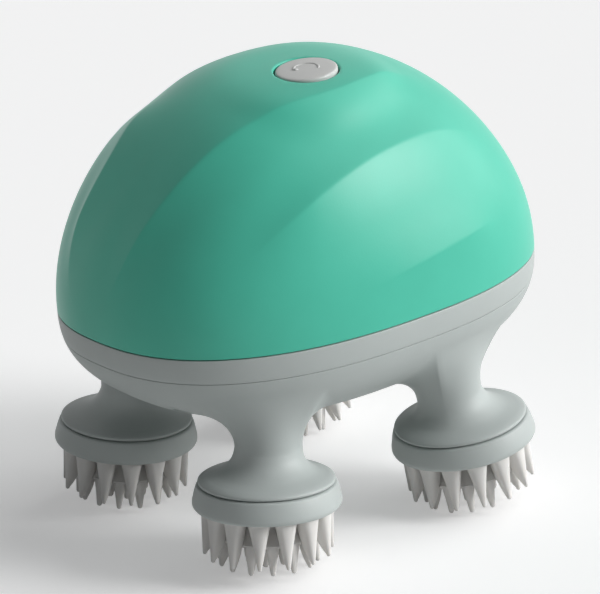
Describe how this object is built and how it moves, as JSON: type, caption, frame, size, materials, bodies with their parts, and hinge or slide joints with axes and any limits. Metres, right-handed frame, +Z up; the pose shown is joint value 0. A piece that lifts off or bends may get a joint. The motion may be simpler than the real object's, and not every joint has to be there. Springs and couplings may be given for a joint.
{
  "type": "scalp massager",
  "caption": "Handheld cordless scalp massager: pleated dome cover, grey bowl on splayed legs, coupled turning heads with soft prongs, and a round power button on the crown.",
  "frame": {"origin": "on the table under the middle of the body, at the height of the prong tips", "axes": "+Z up through the crown, +X along the body towards its rear end, +Y towards the side with the charging contacts"},
  "size_m": [0.109, 0.0944, 0.1001],
  "materials": {
    "cover_green": "satin",
    "shell_grey": "fine matt",
    "button_grey": "fine matt",
    "seal_rubber": "matt",
    "pad_silicone": "soft matt",
    "steel": "turned",
    "bronze": "sintered",
    "gold_contact": "plated",
    "board_green": "solder mask",
    "dark_plastic": "moulded",
    "gear_plastic": "moulded",
    "cell_sleeve": "shrink sleeve",
    "wire_red": "smooth"
  },
  "bodies": {
    "housing": {"top_cover": "cover_green", "button_seal": "seal_rubber", "switch_body": "steel", "control_board": "board_green", "board_screws": "steel", "middle_ring": "shell_grey", "body_gasket": "seal_rubber", "charge_contacts": "gold_contact", "lower_housing": "shell_grey", "housing_screws": "steel", "gearbox_base": "dark_plastic", "gearbox_cover": "dark_plastic", "gearbox_screws": "steel", "drive_motor": "steel", "motor_gearhead": "dark_plastic", "motor_screws": "steel", "idler_pins": "steel", "battery_cell": "cell_sleeve", "battery_cradle": "dark_plastic", "wire_leads": "wire_red", "spindle_bush_front_left": "bronze", "spindle_bush_front_right": "bronze", "spindle_bush_rear_left": "bronze", "spindle_bush_rear_right": "bronze", "shaft_seal_front_left": "seal_rubber", "shaft_seal_front_right": "seal_rubber", "shaft_seal_rear_left": "seal_rubber", "shaft_seal_rear_right": "seal_rubber"},
    "button": {"power_button": "button_grey", "switch_plunger": "dark_plastic"},
    "sun": {"sun_gear": "gear_plastic", "drive_shaft": "steel"},
    "idler_front": {"idler_gear_front": "gear_plastic"},
    "idler_rear": {"idler_gear_rear": "gear_plastic"},
    "output_front_left": {"output_gear_front_left": "gear_plastic"},
    "head_front_left": {"spindle_front_left": "steel", "cross_pin_front_left": "steel", "spindle_clip_front_left": "steel", "head_band_front_left": "shell_grey", "prong_pad_front_left": "pad_silicone"},
    "output_front_right": {"output_gear_front_right": "gear_plastic"},
    "head_front_right": {"spindle_front_right": "steel", "cross_pin_front_right": "steel", "spindle_clip_front_right": "steel", "head_band_front_right": "shell_grey", "prong_pad_front_right": "pad_silicone"},
    "output_rear_left": {"output_gear_rear_left": "gear_plastic"},
    "head_rear_left": {"spindle_rear_left": "steel", "cross_pin_rear_left": "steel", "spindle_clip_rear_left": "steel", "head_band_rear_left": "shell_grey", "prong_pad_rear_left": "pad_silicone"},
    "output_rear_right": {"output_gear_rear_right": "gear_plastic"},
    "head_rear_right": {"spindle_rear_right": "steel", "cross_pin_rear_right": "steel", "spindle_clip_rear_right": "steel", "head_band_rear_right": "shell_grey", "prong_pad_rear_right": "pad_silicone"}
  },
  "joints": [
    {"name": "drive_spin", "type": "hinge", "parent": "housing", "child": "sun", "pos_m": [-0.00374, 0, 0.04337], "axis": [0, 0, 1], "continuous": true},
    {"name": "idler_front_spin", "type": "hinge", "parent": "housing", "child": "idler_front", "pos_m": [-0.02272, 0.01786, 0.04337], "axis": [0, 0, 1], "continuous": true},
    {"name": "idler_rear_spin", "type": "hinge", "parent": "housing", "child": "idler_rear", "pos_m": [0.01059, -0.02177, 0.04337], "axis": [0, 0, 1], "continuous": true},
    {"name": "output_front_left_spin", "type": "hinge", "parent": "housing", "child": "output_front_left", "pos_m": [-0.02993, -0.02463, 0.03697], "axis": [0, 0, 1], "continuous": true},
    {"name": "head_front_left_spin", "type": "hinge", "parent": "housing", "child": "head_front_left", "pos_m": [-0.0322, -0.0258, 0.01417], "axis": [0.0991, 0.051, 0.9938], "continuous": true},
    {"name": "output_front_right_spin", "type": "hinge", "parent": "housing", "child": "output_front_right", "pos_m": [-0.02993, 0.02463, 0.03697], "axis": [0, 0, 1], "continuous": true},
    {"name": "head_front_right_spin", "type": "hinge", "parent": "housing", "child": "head_front_right", "pos_m": [-0.0322, 0.0258, 0.01417], "axis": [0.0991, -0.051, 0.9938], "continuous": true},
    {"name": "output_rear_left_spin", "type": "hinge", "parent": "housing", "child": "output_rear_left", "pos_m": [0.01603, -0.03003, 0.03697], "axis": [0, 0, 1], "continuous": true},
    {"name": "head_rear_left_spin", "type": "hinge", "parent": "housing", "child": "head_rear_left", "pos_m": [0.0183, -0.0312, 0.01417], "axis": [-0.0991, 0.051, 0.9938], "continuous": true},
    {"name": "output_rear_right_spin", "type": "hinge", "parent": "housing", "child": "output_rear_right", "pos_m": [0.01603, 0.03003, 0.03697], "axis": [0, 0, 1], "continuous": true},
    {"name": "head_rear_right_spin", "type": "hinge", "parent": "housing", "child": "head_rear_right", "pos_m": [0.0183, 0.0312, 0.01417], "axis": [-0.0991, -0.051, 0.9938], "continuous": true},
    {"name": "button_press", "type": "slide", "parent": "housing", "child": "button", "axis": [0.0767, 0.0419, -0.9962], "range_m": [0, 0.0008], "stiffness_N_per_m": 400, "springref_m": -0.0005}
  ],
  "couplings": [
    {"joint": "idler_front_spin", "follows": "drive_spin", "ratio": -4.8},
    {"joint": "idler_rear_spin", "follows": "drive_spin", "ratio": -4.8},
    {"joint": "output_front_left_spin", "follows": "drive_spin", "ratio": -4},
    {"joint": "head_front_left_spin", "follows": "drive_spin", "ratio": -4},
    {"joint": "output_front_right_spin", "follows": "drive_spin", "ratio": 4},
    {"joint": "head_front_right_spin", "follows": "drive_spin", "ratio": 4},
    {"joint": "output_rear_left_spin", "follows": "drive_spin", "ratio": 4},
    {"joint": "head_rear_left_spin", "follows": "drive_spin", "ratio": 4},
    {"joint": "output_rear_right_spin", "follows": "drive_spin", "ratio": -4},
    {"joint": "head_rear_right_spin", "follows": "drive_spin", "ratio": -4}
  ]
}
